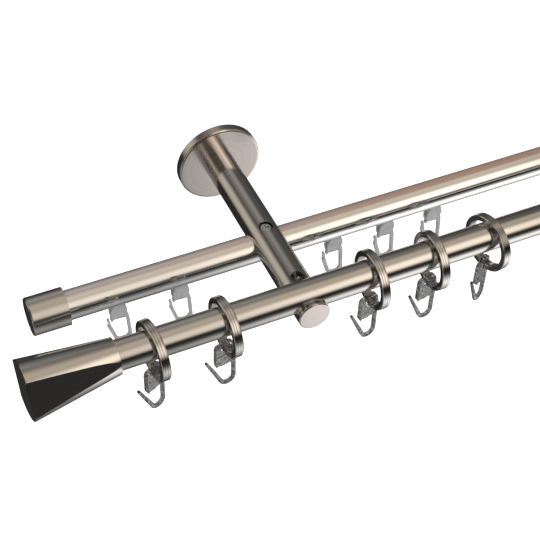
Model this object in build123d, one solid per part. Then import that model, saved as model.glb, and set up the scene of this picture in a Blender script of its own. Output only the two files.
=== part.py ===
from build123d import *
import math
import os

# Double curtain pole, in millimetres. The origin is the middle of the left
# wall disc's back. X runs along the poles, +Y goes into the wall, Z is up.

# Poles and brackets
pole_diameter = 20.0
rail_diameter = 20.0
pole_length = 1000.0
bracket_spacing = 675.0
pole_y, pole_z = -149.0, 6.5
rail_y, rail_z = -86.0, -7.0
brackets_x = (0.0, bracket_spacing)
pole_start = (bracket_spacing - pole_length) / 2
pole_end = pole_start + pole_length
fit = 0.02

# Front pole
pole_wall = 1.2

# Rear rail, an extruded inner track
rail_wall = 1.4
track_floor = -5.4
track_ceiling = 2.2
track_web = 1.2
slot_width = 5.2

# Bracket arm
arm_diameter = 22.0
arm_back = -3.0
arm_front = -160.3
saddle_radius = pole_diameter / 2 + 0.05
saddle_opening = 9.0
saddle_opening_low = 4.0
notch_radius = rail_diameter / 2 + 0.05
notch_opening = 9.1
notch_opening_high = -3.5

# Wall disc and fixing plate
disc_diameter = 61.0
disc_thickness = 6.5
disc_edge_radius = 1.8
recess_diameter = 52.0
recess_depth = 3.3
plate_diameter = 50.0
plate_thickness = 3.0
boss_diameter = 14.0
boss_length = 16.0
plate_hole_diameter = 4.5
plate_hole_radius = 19.0
plate_hole_count = 3

# End cap of the arm
cap_diameter = 21.8
cap_front = -163.0
cap_groove = 0.5
cap_edge_radius = 0.8
cap_neck_diameter = 18.0
cap_pin_diameter = 4.4
cap_pin_length = 8.0
cap_pin_z = -7.2

# Screws
rail_screw_head, rail_screw_head_height, rail_screw_diameter = 7.8, 2.6, 4.0
rail_screw_edge_radius = 1.0
cross_length, cross_width, cross_depth = 4.4, 1.0, 1.4
counterbore_diameter = 9.5
counterbore_floor = 7.0
rail_nut_length, rail_nut_width, rail_nut_height = 7.0, 6.0, 3.0
rail_nut_top = 8.0
grub_diameter = 5.0
grub_y = -135.0
grub_tilt = 15.0
grub_depth = 6.1
grub_recess = 1.8
grub_socket_radius, grub_socket_depth = 1.45, 1.6
grub_seat_diameter = 8.2
grub_bore_diameter = 6.6
grub_bore_start = 0.8
plate_grub_diameter = 4.0
plate_grub_y = -11.0
small_socket_radius, small_socket_depth = 1.2, 1.4

# Finial, round at the pole and flaring to an end with two flats. The end
# sits a little low and is cut a little off square.
finial_rim = -127.5
finial_end = -185.9
finial_rim_diameter = 24.0
finial_end_diameter = 41.9
finial_crowns = (17.8, 20.4)
finial_drop_y, finial_drop_z = -1.2, -2.2
finial_skew_y, finial_skew_z = 0.04, -0.03
flat_distance = 16.6
flat_lean = 22.0
finial_edge = 0.4
finial_grub_x = 7.0
finial_grub_length = 2.4

# Rail end cap
end_cap_diameter = 25.7
end_cap_rim = -140.5
end_cap_wall = 3.0
end_cap_edge_radius = 1.2

# Rings on the front pole, from the left
rings_x = (-103.8, -55.4, 48.1, 92.3, 135.3, 626.9, 730.4, 778.8)
rings_yaw = (4.3, 2.6, 0.0, -0.9, 8.4, 0.0, -2.6, -4.3)
ring_diameter = 41.0
ring_width = 6.0
ring_thickness = 4.0
ring_edge = 0.5
ring_gap = 0.3
ring_centre_z = pole_z + pole_diameter / 2 + ring_gap - (ring_diameter / 2 - ring_thickness)
ring_bottom_z = ring_centre_z - (ring_diameter - ring_thickness) / 2

# Hooks of the rings
clip_outer, clip_inner, clip_width = 5.8, 4.8, 3.0
clip_drop = -0.7
tongue_thickness = 3.8
bridge_thickness = 1.6
hook_yaw = (20.0, 5.0, 10.0, 9.0, 22.0, 0.0, 0.0, 0.0)
stem_diameter, tip_diameter = 3.3, 2.1
stem_x = 5.3
bend_radius, bend_turn, bend_z = 4.85, 156.0, -31.15
limb_length = 27.5

# Gliders in the rear rail
gliders_x = (-107.5, -63.5, 51.3, 92.2, 130.5, 623.7, 738.5, 782.5)
runner_length, runner_width, runner_height = 9.0, 10.0, 3.8
neck_size = 3.6
neck_low = -17.1
eye_radius, eye_hole, eye_thickness = 4.2, 1.7, 2.4
eye_z = -22.5

# Hooks of the gliders
pivot_radius = 1.6
cheek_width = 5.8
cheek_gap = 2.9
loop_thickness = 2.6


def cylinder_x(radius, start, end, y=0.0, z=0.0):
    place = Plane((start, y, z), x_dir=(0, 1, 0), z_dir=(1, 0, 0))
    return extrude(place * Circle(radius), end - start)


def cylinder_y(radius, front, back, x=0.0, z=0.0):
    place = Plane((x, back, z), x_dir=(1, 0, 0), z_dir=(0, -1, 0))
    return extrude(place * Circle(radius), back - front)


def cylinder_z(radius, low, high, x=0.0, y=0.0):
    return extrude(Plane((x, y, low)) * Circle(radius), high - low)


def box(x0, x1, y0, y1, z0, z1):
    middle = ((x0 + x1) / 2, (y0 + y1) / 2, (z0 + z1) / 2)
    return Pos(*middle) * Box(x1 - x0, y1 - y0, z1 - z0)


def mirror_end(shape):
    """The same piece at the other end of the pole."""
    return mirror(shape, Plane((bracket_spacing / 2, 0, 0), z_dir=(1, 0, 0)))


def slab(outline, thickness, y=0.0):
    """An outline drawn in x and z, extruded both ways about y."""
    place = Plane((0, y, 0), x_dir=(1, 0, 0), z_dir=(0, -1, 0))
    return extrude(place * outline, thickness / 2, both=True)


def front_pole():
    tube = cylinder_x(pole_diameter / 2, pole_start, pole_end, pole_y, pole_z)
    bore = pole_diameter / 2 - pole_wall
    return tube - cylinder_x(bore, pole_start - 1, pole_end + 1, pole_y, pole_z)


def rear_rail():
    radius = rail_diameter / 2
    inside = Circle(radius - rail_wall)
    web_top = track_ceiling + track_web
    chamber = inside & Pos(0, (web_top + radius) / 2) * Rectangle(2 * radius, radius - web_top)
    track_height = track_ceiling - track_floor
    track = inside & Pos(0, (track_ceiling + track_floor) / 2) * Rectangle(2 * radius, track_height)
    slot_height = radius + track_floor + 1
    slot = Pos(0, track_floor + 0.5 - slot_height / 2) * Rectangle(slot_width, slot_height)
    section = Circle(radius) - chamber - track - slot
    place = Plane((pole_start, rail_y, rail_z), x_dir=(0, 1, 0), z_dir=(1, 0, 0))
    rail = extrude(place * section, pole_length)
    for x in brackets_x:
        rail -= cylinder_z(rail_screw_diameter / 2 + 0.3, rail_z + web_top + 1, rail_z + radius + 1, x, rail_y)
    return rail


def grub_place(x, along):
    """A plane across the pole's grub screw, so far below the arm's crown."""
    lean = math.radians(grub_tilt)
    direction = (0, math.sin(lean), math.cos(lean))
    crown = arm_diameter / 2
    origin = (x, grub_y - along * direction[1], crown - along * direction[2])
    return Plane(origin, x_dir=(1, 0, 0), z_dir=direction)


def bracket_arm(x):
    radius = arm_diameter / 2
    arm = cylinder_y(radius, arm_front, arm_back, x)
    arm -= cylinder_x(saddle_radius, x - radius - 1, x + radius + 1, pole_y, pole_z)
    arm -= box(x - radius - 1, x + radius + 1, pole_y - saddle_opening, pole_y + saddle_opening,
               pole_z + saddle_opening_low, radius + 1)
    arm -= cylinder_x(notch_radius, x - radius - 1, x + radius + 1, rail_y, rail_z)
    arm -= box(x - radius - 1, x + radius + 1, rail_y - notch_opening, rail_y + notch_opening,
               -radius - 2, rail_z + notch_opening_high)
    arm -= cylinder_z(counterbore_diameter / 2, counterbore_floor, radius + 1, x, rail_y)
    arm -= cylinder_z(rail_screw_diameter / 2 + 0.2, 0, radius, x, rail_y)
    arm -= cylinder_y(boss_diameter / 2 + fit, arm_back - boss_length - 1, arm_back + 1, x)
    arm -= cylinder_z(plate_grub_diameter / 2 + fit, -radius - 1, -boss_diameter / 2 + 1, x, plate_grub_y)
    arm -= cylinder_y(cap_pin_diameter / 2 + fit, arm_front - 1, arm_front + cap_pin_length + 0.5, x, cap_pin_z)
    arm -= extrude(grub_place(x, grub_depth + 1) * Circle(grub_diameter / 2 + fit), grub_depth + 6)
    arm -= extrude(grub_place(x, grub_recess) * Circle(grub_bore_diameter / 2), grub_recess)
    seat = grub_place(x, -0.1) * Circle(grub_seat_diameter / 2)
    return arm - loft([grub_place(x, grub_bore_start) * Circle(grub_bore_diameter / 2), seat])


def wall_disc(x):
    radius = disc_diameter / 2
    disc = cylinder_y(radius, -disc_thickness, 0, x)
    disc = fillet(disc.edges().filter_by(GeomType.CIRCLE).sort_by(Axis.Y)[0], disc_edge_radius)
    disc -= cylinder_y(recess_diameter / 2, -recess_depth, 1, x)
    return disc - cylinder_y(arm_diameter / 2 + fit, -disc_thickness - 1, 1, x)


def fixing_plate(x):
    plate = cylinder_y(plate_diameter / 2, -plate_thickness, 0, x)
    plate += cylinder_y(boss_diameter / 2, -plate_thickness - boss_length, -plate_thickness, x)
    for i in range(plate_hole_count):
        angle = math.radians(90 + i * 360 / plate_hole_count)
        hole_x = x + plate_hole_radius * math.cos(angle)
        hole_z = plate_hole_radius * math.sin(angle)
        plate -= cylinder_y(plate_hole_diameter / 2, -plate_thickness - 1, 1, hole_x, hole_z)
    return plate


def arm_cap(x):
    cap = cylinder_y(cap_diameter / 2, cap_front, arm_front - cap_groove, x)
    cap = fillet(cap.edges().filter_by(GeomType.CIRCLE).sort_by(Axis.Y)[0], cap_edge_radius)
    cap += cylinder_y(cap_neck_diameter / 2, arm_front - cap_groove, arm_front, x)
    return cap + cylinder_y(cap_pin_diameter / 2, arm_front, arm_front + cap_pin_length, x, cap_pin_z)


def rail_screw(x):
    top = counterbore_floor + rail_screw_head_height
    screw = cylinder_z(rail_screw_head / 2, counterbore_floor, top, x, rail_y)
    screw = fillet(screw.edges().filter_by(GeomType.CIRCLE).sort_by(Axis.Z)[-1], rail_screw_edge_radius)
    for length, width in ((cross_length, cross_width), (cross_width, cross_length)):
        screw -= box(x - length / 2, x + length / 2, rail_y - width / 2, rail_y + width / 2,
                     top - cross_depth, top + 1)
    tip = rail_z + rail_nut_top - rail_nut_height - 0.5
    return screw + cylinder_z(rail_screw_diameter / 2 - fit, tip, counterbore_floor, x, rail_y)


def rail_nut(x):
    half_length, half_width = rail_nut_length / 2, rail_nut_width / 2
    top = rail_z + rail_nut_top
    nut = box(x - half_length, x + half_length, rail_y - half_width, rail_y + half_width,
              top - rail_nut_height, top)
    return nut - cylinder_z(rail_screw_diameter / 2, top - rail_nut_height - 1, top + 1, x, rail_y)


def pole_grub(x):
    grub = extrude(grub_place(x, grub_depth) * Circle(grub_diameter / 2), grub_depth - grub_recess)
    socket = grub_place(x, grub_recess + grub_socket_depth) * RegularPolygon(grub_socket_radius, 6)
    return grub - extrude(socket, grub_socket_depth + 1)


def plate_grub(x):
    low = -arm_diameter / 2 + 0.6
    grub = cylinder_z(plate_grub_diameter / 2, low, -boss_diameter / 2 - fit, x, plate_grub_y)
    socket = Plane((x, plate_grub_y, low)) * RegularPolygon(small_socket_radius, 6)
    return grub - extrude(socket, small_socket_depth)


def finial_outline(radius, flats):
    """Four edges: a circle, or two flats with a crown above and below."""
    half = math.degrees(math.acos(flat_distance / (finial_end_diameter / 2)))

    def at(angle, distance=radius):
        turn = math.radians(angle - flat_lean)
        return (distance * math.cos(turn), distance * math.sin(turn))

    edges = []
    for side, crown in zip((0, 180), finial_crowns):
        start, end = at(side - half), at(side + half)
        edges.append(Line(start, end) if flats else ThreePointArc(start, at(side), end))
        top = at(side + 90, crown if flats else radius)
        edges.append(ThreePointArc(end, top, at(side + 180 - half)))
    return make_face(edges)


def finial():
    rim_plane = Plane((finial_rim, pole_y, pole_z), x_dir=(0, 1, 0), z_dir=(1, 0, 0))
    end_plane = Plane((finial_end, pole_y + finial_drop_y, pole_z + finial_drop_z),
                      x_dir=(-finial_skew_y, 1, 0), z_dir=(1, finial_skew_y, finial_skew_z))
    rim = rim_plane * finial_outline(finial_rim_diameter / 2, False)
    end = end_plane * finial_outline(finial_end_diameter / 2, True)
    body = loft([rim, end], ruled=True)
    body = chamfer(body.faces().sort_by(Axis.X)[0].edges(), finial_edge)
    depth = pole_start - fit
    body -= cylinder_x(pole_diameter / 2 + fit, depth, finial_rim + 1, pole_y, pole_z)
    grub_hole = finial_rim - finial_grub_x
    low = pole_z - finial_end_diameter / 2
    return body - cylinder_z(plate_grub_diameter / 2 + fit, low, pole_z - 8, grub_hole, pole_y)


def finial_grub():
    top = pole_z - pole_diameter / 2 - fit
    x = finial_rim - finial_grub_x
    low = top - finial_grub_length
    grub = cylinder_z(plate_grub_diameter / 2, low, top, x, pole_y)
    return grub - extrude(Plane((x, pole_y, low)) * RegularPolygon(small_socket_radius, 6), small_socket_depth)


def rail_end_cap():
    end = pole_start - end_cap_wall
    cap = cylinder_x(end_cap_diameter / 2, end, end_cap_rim, rail_y, rail_z)
    cap = fillet(cap.edges().filter_by(GeomType.CIRCLE).sort_by(Axis.X)[0], end_cap_edge_radius)
    return cap - cylinder_x(rail_diameter / 2 + fit, pole_start - fit, end_cap_rim + 1, rail_y, rail_z)


def curtain_ring(x, yaw):
    inner = ring_diameter / 2 - ring_thickness
    middle = inner + ring_thickness / 2
    section = Pos(middle, 0) * Rectangle(ring_thickness, ring_width)
    section = chamfer(section.vertices(), ring_edge)
    ring = revolve(section, Axis.Y)
    ring = Rot(0, 0, -90) * ring
    return Pos(x, pole_y, ring_centre_z) * Rot(0, 0, yaw) * ring


def ring_hook(x, yaw):
    """One clear moulding: a snap clip, a tongue plate and a J hook."""
    eye = Pos(0, clip_drop) * Circle(clip_inner)
    clip = slab(Pos(0, clip_drop) * Circle(clip_outer) - eye, clip_width)
    mouth = Polyline((0, clip_drop), (9, 6.0), (9, 1.6), close=True)
    clip -= slab(make_face(mouth), clip_width + 2)
    plate_line = Polyline((-3.8, 3.0), (-7.0, 2.2), (-8.2, -0.4), (-8.4, -13.8), (-8.0, -16.2),
                          (-7.0, -15.0), (-2.0, -15.8), (-1.6, -4.4), (-3.0, -3.2), close=True)
    plate = slab(make_face(plate_line), tongue_thickness)
    bridge_line = Polyline((-2.0, -5.0), (stem_x, -5.0), (stem_x, -16.6), (-2.0, -17.0), close=True)
    bridge = slab(make_face(bridge_line), bridge_thickness)
    radius = stem_diameter / 2
    stem = cylinder_z(radius, bend_z, -3.5, stem_x, 0)
    start = Plane((stem_x, 0, bend_z), x_dir=(1, 0, 0), z_dir=(0, 0, 1)) * Circle(radius)
    bend = revolve(start, Axis((stem_x - bend_radius, 0, bend_z), (0, 1, 0)), bend_turn)
    turn = math.radians(bend_turn)
    bend_end = (stem_x - bend_radius + bend_radius * math.cos(turn), 0, bend_z - bend_radius * math.sin(turn))
    limb_place = Plane(bend_end, x_dir=(0, 1, 0), z_dir=(-math.sin(turn), 0, -math.cos(turn)))
    limb = loft([limb_place * Circle(radius), limb_place.offset(limb_length) * Circle(tip_diameter / 2)])
    limb = fillet(limb.edges().filter_by(GeomType.CIRCLE).sort_by(Axis.Z)[-1], tip_diameter * 0.4)
    hook = clip + plate + bridge + stem + bend + limb - slab(eye, tongue_thickness + 2)
    return Pos(x, pole_y, ring_bottom_z) * Rot(0, 0, yaw) * hook


def glider(x):
    floor = rail_z + track_floor + 0.1
    runner = box(x - runner_length / 2, x + runner_length / 2, rail_y - runner_width / 2,
                 rail_y + runner_width / 2, floor, floor + runner_height)
    half = neck_size / 2
    front, back = rail_y - eye_thickness / 2, rail_y + eye_thickness / 2
    neck = box(x - half, x + half, rail_y - half, rail_y + half, neck_low, floor)
    blade = box(x - half, x + half, front, back, eye_z + 2, neck_low)
    eye = cylinder_y(eye_radius, front, back, x, eye_z)
    body = runner + neck + blade + eye
    return body - cylinder_y(eye_hole, rail_y - 5, rail_y + 5, x, eye_z)


def glider_hook(x):
    """One grey moulding: two cheeks with a pivot, and an open loop below."""
    head_line = Polyline((-3.6, 1.6), (-4.8, -2.0), (-4.8, -6.0), (-4.4, -8.8), (-3.2, -8.0),
                         (5.0, -7.6), (6.0, -4.6), (6.8, -2.6), (6.0, 1.6), (3.4, 4.2), (-1.8, 4.2),
                         close=True)
    head = slab(make_face(head_line), cheek_width)
    head -= slab(Pos(0, 2.2) * Rectangle(20, 15), cheek_gap)
    head += cylinder_y(pivot_radius, -cheek_gap, cheek_gap)
    loop_line = Polyline((-7.4, -10.9), (-6.6, -15.2), (-7.4, -16.7), (-3.4, -30.6), (-1.4, -33.4),
                         (7.0, -33.4), (9.0, -30.0), (8.2, -13.5), (7.6, -9.0), (6.4, -6.0),
                         (-4.2, -6.0), (-4.8, -11.6), (-4.1, -12.2), (-2.8, -10.6), (5.0, -11.0),
                         (6.2, -15.0), (7.0, -28.6), (5.2, -31.4), (0.6, -31.6), (-0.8, -30.6),
                         (-4.8, -16.6), (-5.8, -10.2), (-6.4, -9.6), close=True)
    loop = slab(make_face(loop_line), loop_thickness)
    hook = head + loop - slab(Pos(1.0, -9.3) * Rectangle(2.4, 1.4), cheek_width + 2)
    return Pos(x, rail_y, eye_z) * hook


def write(name, shape):
    export_step(shape, f"parts/{name}.step")


os.makedirs("parts", exist_ok=True)
for side, bracket_x in zip(("left", "right"), brackets_x):
    write(f"bracket_arm_{side}", bracket_arm(bracket_x))
    write(f"wall_disc_{side}", wall_disc(bracket_x))
    write(f"fixing_plate_{side}", fixing_plate(bracket_x))
    write(f"arm_cap_{side}", arm_cap(bracket_x))
write("front_pole", front_pole())
write("rear_rail", rear_rail())
write("rail_screws", Compound([rail_screw(x) for x in brackets_x]))
write("rail_nuts", Compound([rail_nut(x) for x in brackets_x]))
write("pole_grub_screws", Compound([pole_grub(x) for x in brackets_x]))
write("plate_grub_screws", Compound([plate_grub(x) for x in brackets_x]))
write("finial_grub_screws", Compound([finial_grub(), mirror_end(finial_grub())]))
write("finial_left", finial())
write("finial_right", mirror_end(finial()))
write("rail_end_cap_left", rail_end_cap())
write("rail_end_cap_right", mirror_end(rail_end_cap()))
for i, (ring_x, yaw, swing) in enumerate(zip(rings_x, rings_yaw, hook_yaw), 1):
    write(f"curtain_ring_{i}", curtain_ring(ring_x, yaw))
    write(f"ring_hook_{i}", ring_hook(ring_x, yaw + swing))
for i, glider_x in enumerate(gliders_x, 1):
    write(f"glider_{i}", glider(glider_x))
    write(f"glider_hook_{i}", glider_hook(glider_x))
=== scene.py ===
import math
import bpy
from mathutils import Matrix, Vector


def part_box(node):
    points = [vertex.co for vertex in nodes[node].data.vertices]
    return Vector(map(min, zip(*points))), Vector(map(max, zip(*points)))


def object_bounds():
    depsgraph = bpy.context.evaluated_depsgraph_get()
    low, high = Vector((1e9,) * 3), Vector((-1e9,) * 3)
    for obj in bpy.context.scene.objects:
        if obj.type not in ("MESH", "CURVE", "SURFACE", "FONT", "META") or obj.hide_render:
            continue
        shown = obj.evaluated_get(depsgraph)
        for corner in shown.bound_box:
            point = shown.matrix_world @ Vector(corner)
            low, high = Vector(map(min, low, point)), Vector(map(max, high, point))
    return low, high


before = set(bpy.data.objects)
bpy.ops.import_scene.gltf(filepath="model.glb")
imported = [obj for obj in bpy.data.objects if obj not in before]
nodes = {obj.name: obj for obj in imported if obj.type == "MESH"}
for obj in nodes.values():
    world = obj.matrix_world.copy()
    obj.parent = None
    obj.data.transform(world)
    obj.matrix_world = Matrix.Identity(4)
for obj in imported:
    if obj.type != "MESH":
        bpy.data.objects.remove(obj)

cadBox = [list(corner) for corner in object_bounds()]
scene = bpy.context.scene
mm = 0.001

# where things are, all read from the frame
poleLow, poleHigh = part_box("front_pole")
railLow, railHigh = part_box("rear_rail")
poleMiddle = (poleLow + poleHigh) / 2
railMiddle = (railLow + railHigh) / 2
discMiddles = [sum(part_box(f"wall_disc_{side}"), Vector()) / 2 for side in ("left", "right")]
armGap = discMiddles[1].x - discMiddles[0].x
armCentre = (discMiddles[0].x + discMiddles[1].x) / 2


class Wire:          # a socket that takes part in sums
    def __init__(self, net, socket):
        self.net = net
        self.socket = socket

    def maths(self, operation, first, second=None):
        values = {0: first} if second is None else {0: first, 1: second}
        return self.net.add("ShaderNodeMath", {"operation": operation}, values)["Value"]

    def __add__(self, other):
        return self.maths("ADD", self, other)

    def __sub__(self, other):
        return self.maths("SUBTRACT", self, other)

    def __mul__(self, other):
        return self.maths("MULTIPLY", self, other)

    def __truediv__(self, other):
        return self.maths("DIVIDE", self, other)

    def __radd__(self, other):
        return self.maths("ADD", other, self)

    def __rsub__(self, other):
        return self.maths("SUBTRACT", other, self)

    def above(self, edge):
        return self.maths("GREATER_THAN", self, edge)

    def atMost(self, most):
        return self.maths("MINIMUM", self, most)

    def size(self):
        return self.maths("ABSOLUTE", self)

    def sine(self):
        return self.maths("SINE", self)


class Outputs:       # a node's outputs by name
    def __init__(self, net, node):
        self.net = net
        self.node = node

    def __getitem__(self, name):
        return Wire(self.net, self.node.outputs[name])


class Net:           # one node tree, for a material or the world
    def __init__(self, owner):
        owner.use_nodes = True
        self.tree = owner.node_tree
        self.tree.nodes.clear()

    def add(self, kind, settings=None, values=None):
        node = self.tree.nodes.new(kind)
        for name, value in (settings or {}).items():
            setattr(node, name, value)
        for name, value in (values or {}).items():
            if isinstance(value, Wire):
                self.tree.links.new(value.socket, node.inputs[name])
            else:
                node.inputs[name].default_value = value
        return Outputs(self, node)

    def axes(self, wire):
        split = self.add("ShaderNodeSeparateXYZ", None, {"Vector": wire})
        return split["X"], split["Y"], split["Z"]

    def point(self, x, y, z):
        return self.add("ShaderNodeCombineXYZ", None, {"X": x, "Y": y, "Z": z})["Vector"]

    def noise(self, where, scale, detail, roughness):
        values = {"Vector": where, "Scale": scale, "Detail": detail, "Roughness": roughness}
        return self.add("ShaderNodeTexNoise", None, values)["Fac"]

    def mix(self, kind, factor, first, second):      # of colours
        settings = {"data_type": "RGBA", "blend_type": kind}
        made = self.add("ShaderNodeMix", settings, {0: factor, 6: first, 7: second})
        return Wire(self, made.node.outputs[2])

    def blend(self, factor, first, second):
        return self.mix("MIX", factor, first, second)

    def vector(self, operation, first, second=None):
        values = {0: first} if second is None else {0: first, 1: second}
        out = "Value" if operation in ("DOT_PRODUCT", "LENGTH") else "Vector"
        return self.add("ShaderNodeVectorMath", {"operation": operation}, values)[out]

    def blendVector(self, factor, first, second):
        made = self.add("ShaderNodeMix", {"data_type": "VECTOR"}, {0: factor, 4: first, 5: second})
        return Wire(self, made.node.outputs[1])

    def smooth(self, wire, low, high):
        values = {"Value": wire, "From Min": low, "From Max": high}
        return self.add("ShaderNodeMapRange", {"interpolation_type": "SMOOTHSTEP"}, values)["Result"]


def fromNearerArm(x):
    return x - x.above(armCentre) * armGap


def grey(level):
    return (level, level, level, 1)


def warm(red, green, blue):
    return (red, green, blue, 1)


# brushed nickel

nickel = {
    "tint": warm(0.80, 0.775, 0.745),
    "streakTint": warm(0.68, 0.655, 0.62),
    "across": 1700.0,      # streaks per metre, across the brushing
    "along": 16.0,         # and along it
    "fine": (1.0, 3.0, 0.6), "broad": (0.23, 1.0, 0.5),      # each noise's scale, detail and roughness
    "fineShare": 0.65,
    "blotches": (55.0, 2.0, 0.5), "blotchSpread": 0.04,
    "roughness": 0.15,
    "roughnessSpread": 0.14,
    "depth": 0.000006,
}


def brushedMetal(name, look, streakPoint, shape=None, shade=None, metal=None):
    # shape gives the normal, shade changes the colour and metal gives the metallic share
    material = bpy.data.materials.new(name)
    net = Net(material)
    here = net.add("ShaderNodeTexCoord")["Object"]
    where = streakPoint(net, *net.axes(here), look)
    fine, broad = net.noise(where, *look["fine"]), net.noise(where, *look["broad"])
    streak = fine * look["fineShare"] + broad * (1 - look["fineShare"])
    blotch = net.noise(here, *look["blotches"])
    roughness = look["roughness"] + (streak - 0.5) * look["roughnessSpread"]
    roughness = roughness + (blotch - 0.5) * look["blotchSpread"]
    colour = net.blend(streak, look["streakTint"], look["tint"])
    height = streak
    if "lineSpacing" in look:      # turned lines, deeper than the brushing
        perStreak = 2 * math.pi / look["lineSpacing"] / look["across"]
        line = net.smooth((net.axes(where)[0] * perStreak).sine(), *look["lineEdges"])
        colour = net.blend(line * look["lineShade"], colour, look["lineTint"])
        height = streak - line * look["lineDepth"]
    if shade:
        colour = shade(net, here, colour)
    values = {"Strength": 1.0, "Distance": look["depth"], "Height": height}
    if shape:
        values["Normal"] = shape(net, here)
    bump = net.add("ShaderNodeBump", None, values)
    shader = net.add("ShaderNodeBsdfPrincipled", None, {
        "Base Color": colour, "Metallic": metal(net, here) if metal else 1.0,
        "Roughness": roughness, "Normal": bump["Normal"]})
    net.add("ShaderNodeOutputMaterial", None, {"Surface": shader["BSDF"]})
    return material


def alongX(net, x, y, z, look):
    return net.point(x * look["along"], y * look["across"], z * look["across"])


def alongY(net, x, y, z, look):
    return net.point(x * look["across"], y * look["along"], z * look["across"])


def roundDisc(net, x, y, z, look):
    # circles round the nearer arm's axis
    x = fromNearerArm(x)
    radius = net.add("ShaderNodeMath", {"operation": "SQRT"}, {0: x * x + z * z})["Value"]
    return net.point(radius * look["across"], x * look["along"], z * look["along"] + y * look["across"])


def roundRing(centre, yaw):
    # lines round the ring's own axis, which its yaw turns
    across = (math.cos(yaw), math.sin(yaw))

    def streaks(net, x, y, z, look):
        width = (x - centre.x) * across[0] + (y - centre.y) * across[1]
        return net.point(width * look["across"], y * look["along"], z * look["along"])
    return streaks


def dress(material, *names):
    for name in names:
        mesh = nodes[name].data
        mesh.materials.clear()
        mesh.materials.append(material)


def bothEnds(name):
    return [f"{name}_left", f"{name}_right"]


dress(brushedMetal("poleNickel", nickel, alongX), "front_pole")

# the finial: a cone milled to two flats, so its shading turns sharply where they begin

finialLook = dict(
    nickel, roughness=0.14, roughnessSpread=0.12,
    rim=12.0 * mm, growth=8.95 * mm,              # the cone's radius at the pole, and how much it grows
    flatRim=12.0 * mm, flatGrowth=4.6 * mm,       # the flats' distance from the axis, likewise
    drop=(-1.2 * mm, -2.2 * mm), lean=22.0,       # the end face's shift, and the flats' lean in degrees
    rimMargin=0.7 * mm, endMargin=1.6 * mm)       # what is left as it is at the rim and the end face


def milledCone(net, here):
    x, y, z = net.axes(here)
    low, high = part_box("finial_left")
    length = high.x - low.x
    centre = (poleLow.x + poleHigh.x) / 2
    away = (x - centre).size()
    share = (away - (centre - high.x)) / length      # 0 at the rim, 1 at the end face
    y = y - poleMiddle.y - share * finialLook["drop"][0]
    z = z - poleMiddle.z - share * finialLook["drop"][1]
    spoke = net.vector("NORMALIZE", net.point(0.0, y, z))
    inward = 1 - x.above(centre) * 2                 # towards the pole's middle on either end
    lean = math.radians(finialLook["lean"])
    flat = Vector((0.0, math.cos(lean), -math.sin(lean)))
    facing = net.vector("DOT_PRODUCT", spoke, flat)
    radius = share * finialLook["growth"] + finialLook["rim"]
    flatDistance = share * finialLook["flatGrowth"] + finialLook["flatRim"]
    onFlat = facing.size().above(flatDistance / radius)
    flatSide = facing.above(0.0) * 2 - 1
    flatNormal = net.point(inward * (finialLook["flatGrowth"] / length), flatSide * flat.y, flatSide * flat.z)
    spokeY, spokeZ = net.axes(spoke)[1:]
    coneNormal = net.point(inward * (finialLook["growth"] / length), spokeY, spokeZ)
    milled = net.vector("NORMALIZE", net.blendVector(onFlat, coneNormal, flatNormal))
    inside = away.above(centre - high.x + finialLook["rimMargin"])
    inside = inside * (1 - away.above(centre - low.x - finialLook["endMargin"]))
    return net.blendVector(inside, net.add("ShaderNodeNewGeometry")["Normal"], milled)


dress(brushedMetal("finialNickel", finialLook, alongX, milledCone), *bothEnds("finial"))
dress(brushedMetal("capNickel", nickel, alongX), *bothEnds("rail_end_cap"))

# the arms, with painted shade darkening the walls of their screw holes

holeShadeLook = {"radius": 4.72 * mm, "shades": {"rail_screws": grey(0.035), "pole_grub_screws": grey(0.22)}}


def paintHoleShade(net, here, colour):
    x, y, z = net.axes(here)
    x = fromNearerArm(x)
    for screws, shade in holeShadeLook["shades"].items():
        low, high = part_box(screws)
        reach = net.vector("LENGTH", net.point(x, y - (low.y + high.y) / 2, 0.0))
        # painted shade: the arm's colour is darkened inside each screw hole, above the arm's axis
        inShadedHole = (1 - reach.above(holeShadeLook["radius"])) * z.above(0.0)
        colour = net.blend(inShadedHole, colour, shade)
    return colour


armMetal = brushedMetal("armNickel", nickel, alongY, shade=paintHoleShade)
dress(armMetal, *bothEnds("bracket_arm"))

# the wall discs and the arms' caps are turned, so their brushing runs in circles

discLook = dict(nickel, tint=warm(0.90, 0.81, 0.77), streakTint=warm(0.62, 0.555, 0.525), across=1100.0,
                roughness=0.17, depth=0.000007)
discMetal = brushedMetal("discNickel", discLook, roundDisc)
dress(discMetal, *bothEnds("wall_disc"), *bothEnds("arm_cap"))
print("brushed nickel done")

# rings

ringLook = dict(nickel, across=2600.0, along=9.0, roughness=0.11, roughnessSpread=0.08, depth=0.00003,
                lineSpacing=1.7 * mm, lineEdges=(0.55, 0.98), lineShade=0.34, lineTint=grey(0.03),
                lineDepth=0.9)
ringYaws = (4.3, 2.6, 0.0, -0.9, 8.4, 0.0, -2.6, -4.3)      # degrees, as the rings hang on the pole
for number, yaw in enumerate(ringYaws, 1):
    low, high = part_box(f"curtain_ring_{number}")
    streaks = roundRing((low + high) / 2, math.radians(yaw))
    dress(brushedMetal(f"ringNickel{number}", ringLook, streaks), f"curtain_ring_{number}")
print("rings done")

# the rear rail is drawn and smoother, with a rosy reflection painted along its crown, where it is also made
# less metallic so that the painted colour shows

railLook = dict(
    nickel, tint=warm(1.0, 0.99, 0.98), streakTint=warm(0.95, 0.93, 0.91),
    across=900.0, along=6.0, roughness=0.07, roughnessSpread=0.04, depth=0.000002,
    satinTint=warm(0.55, 0.36, 0.27), satin=0.52,
    crown=(0.17, 0.98), crownEdges=(0.87, 0.95),                # which way the crown faces, and its edges
    fadeIn=(-0.15, 0.16), leastSatin=0.45)                      # weaker towards the left end


# painted reflection: a rosy band on the side of the rail that faces up and back, weaker towards the left end
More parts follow.
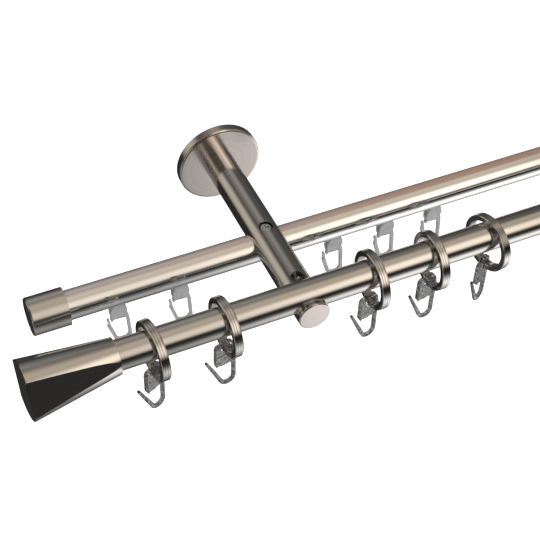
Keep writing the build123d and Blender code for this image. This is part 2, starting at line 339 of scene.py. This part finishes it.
def reflectionBand(net, here):
    x, y, z = net.axes(here)
    radius = (railHigh.z - railLow.z) / 2
    backShare, upShare = [share / radius for share in railLook["crown"]]
    side = (y - railMiddle.y) * backShare + (z - railMiddle.z) * upShare
    strength = net.smooth(x, *railLook["fadeIn"]) * (1 - railLook["leastSatin"]) + railLook["leastSatin"]
    return net.smooth(side, *railLook["crownEdges"]) * strength


def paintReflectionBand(net, here, colour):
    return net.blend(reflectionBand(net, here), colour, railLook["satinTint"])


def reflectionBandMetal(net, here):
    return 1 - reflectionBand(net, here) * railLook["satin"]


railMetal = brushedMetal("railNickel", railLook, alongX, shade=paintReflectionBand, metal=reflectionBandMetal)
dress(railMetal, "rear_rail")

# screws, nuts and fixing plates

screwLook = dict(nickel, tint=warm(0.82, 0.82, 0.81), streakTint=warm(0.7, 0.7, 0.69), roughness=0.14)
screws = ("rail_screws", "pole_grub_screws", "plate_grub_screws", "finial_grub_screws")
dress(brushedMetal("screwSteel", screwLook, alongX), *screws)
zincLook = dict(nickel, tint=warm(0.66, 0.67, 0.66), streakTint=warm(0.52, 0.53, 0.52), roughness=0.34)
dress(brushedMetal("zincSteel", zincLook, alongX), "rail_nuts", *bothEnds("fixing_plate"))
print("rail and screws done")

# plastics

clearLook = {
    "tint": warm(0.86, 0.86, 0.86), "cloud": warm(0.12, 0.12, 0.122), "clearness": 0.97,
    "clouds": (520.0, 2.0, 0.5), "contrast": (0.36, 0.66),
    "roughness": 0.02, "cloudRoughness": 0.06,
    "ripples": (900.0, 2.0, 0.5), "rippleShare": 0.2, "depth": 0.00012, "strength": 0.8,
}
greyLook = dict(clearLook, tint=warm(0.58, 0.585, 0.585), cloud=warm(0.49, 0.495, 0.495), clearness=0.25,
                clouds=(260.0, 2.0, 0.5), contrast=(0.25, 0.75), roughness=0.28, depth=0.00003)
acrylicIndex = 1.49


def mouldedPlastic(name, look):
    material = bpy.data.materials.new(name)
    net = Net(material)
    here = net.add("ShaderNodeTexCoord")["Object"]
    cloud = net.smooth(net.noise(here, *look["clouds"]), *look["contrast"])
    height = cloud + net.noise(here, *look["ripples"]) * look["rippleShare"]
    bump = net.add("ShaderNodeBump", None, {
        "Strength": look["strength"], "Distance": look["depth"], "Height": height})
    shader = net.add("ShaderNodeBsdfPrincipled", None, {
        "Base Color": net.blend(cloud, look["cloud"], look["tint"]),
        "Roughness": look["roughness"] + cloud * look["cloudRoughness"], "IOR": acrylicIndex,
        "Transmission Weight": look["clearness"], "Normal": bump["Normal"]})
    net.add("ShaderNodeOutputMaterial", None, {"Surface": shader["BSDF"]})
    return material


places = range(1, len(ringYaws) + 1)
dress(mouldedPlastic("clearHook", clearLook), *[f"ring_hook_{place}" for place in places])
dress(mouldedPlastic("greyHook", greyLook), *[f"glider_hook_{place}" for place in places],
      *[f"glider_{place}" for place in places])
print("plastics done")

# the studio that the metal mirrors: soft lights, each a band of angles in the plane across the poles, where
# 0 is the front horizon, 90 is straight up and -90 straight down

studio = {
    "lights": {      # where each rises and falls, its colour, and its share at the near and the far end
        "floor": {"rise": (-112, -46), "fall": (-58, -14), "colour": (1.34, 1.34, 1.30), "ends": (0.23, 1.0)},
        "skirting": {"rise": (-170, -118), "fall": (-98, -72), "colour": (0.14, 0.14, 0.14),
                     "ends": (0.1, 1.0)},
        "window": {"rise": (4, 33), "fall": (48, 78), "colour": (1.32, 1.18, 1.0), "ends": (0.59, 1.0)},
        "ceiling": {"rise": (50, 82), "fall": (94, 126), "colour": (0.50, 0.43, 0.34), "ends": (1.0, 0.98)},
        "wall": {"rise": (112, 146), "fall": (152, 182), "colour": (0.17, 0.17, 0.16), "ends": (1.0, 0.2)},
    },
    "nearSide": 0.20, "farSide": 0.40,     # how far a ray leans to the right where near and far levels begin
    "dusk": 0.055, "gapLevel": 0.02, "gap": (4, 20),      # the level elsewhere, and about the horizon
    "backSide": (-0.10, 0.12), "backLevel": 0.45, "behind": (0.35, 0.6),      # the near back is dimmer
    "cards": (      # round ones, whose edges are given in degrees from the middle
        {"towards": (-0.73, 0.62, 0.28), "outer": 27, "inner": 4, "colour": (0.46, 0.42, 0.36)},
        {"towards": (0.10, 0.62, 0.78), "outer": 30, "inner": 4, "colour": (0.15, 0.135, 0.12)},
        {"towards": (-0.775, -0.62, 0.11), "outer": 22, "inner": 5, "colour": (0.55, 0.50, 0.42)},
    ),
    "nearEnd": (-0.10, 0.11), "nearEndLevel": 0.12,      # where the front lights end on either side
    "farEnd": (0.45, 0.60), "farEndLevel": 0.30,
    "ahead": (-0.1, 0.3), "overhead": (-0.3, 0.1),       # and which rays that reaches
    "throughPlastic": 0.14,                # how much of the background shows through clear plastic
    "diffuse": 0.75,                       # the level that lights matt surfaces
    "background": 1.0,
}


def mirroredLight(net, angle, farness):
    # one light after the other, each at its near share, its far share or between
    away = net.smooth(angle.size(), *studio["gap"])
    colour = net.blend(away, grey(studio["gapLevel"]), grey(studio["dusk"]))
    for light in studio["lights"].values():
        near, far = light["ends"]
        band = net.smooth(angle, *light["rise"]) * (1 - net.smooth(angle, *light["fall"]))
        share = farness * (far - near) + near
        colour = net.mix("ADD", band * share, colour, warm(*light["colour"]))
    return colour


def makeWorld():
    world = bpy.data.worlds.new("studio")
    scene.world = world
    net = Net(world)
    towards = net.add("ShaderNodeTexCoord")["Generated"]
    x, y, z = net.axes(towards)
    radians = net.add("ShaderNodeMath", {"operation": "ARCTAN2"}, {0: z, 1: 0 - y})["Value"]
    angle = radians * math.degrees(1)
    farness = net.smooth(x, studio["nearSide"], studio["farSide"])
    farLight = mirroredLight(net, angle, 1.0)
    mirrored = mirroredLight(net, angle, farness)
    dim = net.smooth(y, *studio["behind"]) * (1 - net.smooth(x, *studio["backSide"]))
    mirrored = net.blend(dim * (1 - studio["backLevel"]), mirrored, grey(0.0))
    nearFade = (1 - net.smooth(x, *studio["nearEnd"])) * (1 - studio["nearEndLevel"])
    farFade = net.smooth(x, *studio["farEnd"]) * (1 - studio["farEndLevel"])
    reach = (1 - net.smooth(y, *studio["ahead"])) * net.smooth(z, *studio["overhead"])
    mirrored = net.blend((nearFade + farFade) * reach, mirrored, grey(0.0))
    for card in studio["cards"]:
        nearness = net.vector("DOT_PRODUCT", towards, Vector(card["towards"]).normalized())
        edges = [math.cos(math.radians(card[edge])) for edge in ("outer", "inner")]
        mirrored = net.mix("ADD", net.smooth(nearness, *edges), mirrored, warm(*card["colour"]))
    ray = net.add("ShaderNodeLightPath")
    colour = net.blend(ray["Is Glossy Ray"], grey(studio["diffuse"]), mirrored)
    colour = net.blend(ray["Is Transmission Ray"], colour, farLight)
    seen = (ray["Is Camera Ray"] + ray["Is Transmission Ray"] * studio["throughPlastic"]).atMost(1)
    colour = net.blend(seen, colour, grey(studio["background"]))
    back = net.add("ShaderNodeBackground", None, {"Color": colour, "Strength": 1.0})
    net.add("ShaderNodeOutputWorld", None, {"Surface": back["Background"]})
    world.cycles.sampling_method = "NONE"


floorLook = {"below": 0.55, "size": 14.0, "colour": grey(0.86), "glow": 0.62}


def makeFloor():
    low = Vector(cadBox[0])
    half = floorLook["size"] / 2
    middle = (Vector(cadBox[0]) + Vector(cadBox[1])) / 2
    height = low.z - floorLook["below"]
    turns = ((-1, -1), (1, -1), (1, 1), (-1, 1))
    corners = [(middle.x + a * half, middle.y + b * half, height) for a, b in turns]
    mesh = bpy.data.meshes.new("floor")
    mesh.from_pydata(corners, [], [(0, 1, 2, 3)])
    floor = bpy.data.objects.new("floor", mesh)
    scene.collection.objects.link(floor)
    material = bpy.data.materials.new("paleFloor")
    net = Net(material)
    ray = net.add("ShaderNodeLightPath")
    seen = ray["Is Camera Ray"] * floorLook["glow"]
    glow = net.add("ShaderNodeEmission", None, {"Color": grey(1.0), "Strength": seen})
    paint = net.add("ShaderNodeBsdfDiffuse", None, {"Color": floorLook["colour"]})
    both = net.add("ShaderNodeAddShader", None, {0: glow["Emission"], 1: paint["BSDF"]})
    net.add("ShaderNodeOutputMaterial", None, {"Surface": both["Shader"]})
    mesh.materials.append(material)
    floor.visible_glossy = False
    floor.visible_transmission = False


lamps = {
    "overFront": {"place": (-0.5, -1.3, 1.6), "size": 1.4, "watts": 16.0},
    "overBack": {"place": (0.9, 0.5, 1.8), "size": 1.4, "watts": 9.0},
}


def makeLamps():
    target = poleMiddle.lerp(railMiddle, 0.5)
    for name, look in lamps.items():
        data = bpy.data.lights.new(name, "AREA")
        data.shape = "DISK"
        data.size = look["size"]
        data.energy = look["watts"]
        lamp = bpy.data.objects.new(name, data)
        scene.collection.objects.link(lamp)
        lamp.location = look["place"]
        lamp.rotation_euler = (target - Vector(look["place"])).to_track_quat("-Z", "Y").to_euler()
        lamp.visible_glossy = False


makeWorld()
makeFloor()
makeLamps()
print("studio done")

# the photograph's camera, in degrees and metres, with its lens in millimetres

cameraLook = {"azimuth": -25.23, "elevation": 46.53, "roll": 1.5, "place": (-0.2510, -0.6269, 0.5973),
              "lens": 83.74, "sensor": 36.0, "nearest": 0.01}


def makeCamera():
    azimuth, elevation = math.radians(cameraLook["azimuth"]), math.radians(cameraLook["elevation"])
    back = Vector((math.sin(azimuth) * math.cos(elevation), -math.cos(azimuth) * math.cos(elevation),
                   math.sin(elevation)))
    data = bpy.data.cameras.new("photoCamera")
    data.lens = cameraLook["lens"]
    data.sensor_width = cameraLook["sensor"]
    data.clip_start = cameraLook["nearest"]
    camera = bpy.data.objects.new("photoCamera", data)
    scene.collection.objects.link(camera)
    roll = Matrix.Rotation(math.radians(cameraLook["roll"]), 3, "Z")
    turn = (-back).to_track_quat("-Z", "Y").to_matrix() @ roll
    camera.matrix_world = Matrix.Translation(cameraLook["place"]) @ turn.to_4x4()
    scene.camera = camera


makeCamera()
scene.view_settings.view_transform = "Standard"
print("camera done")

bpy.context.view_layer.update()
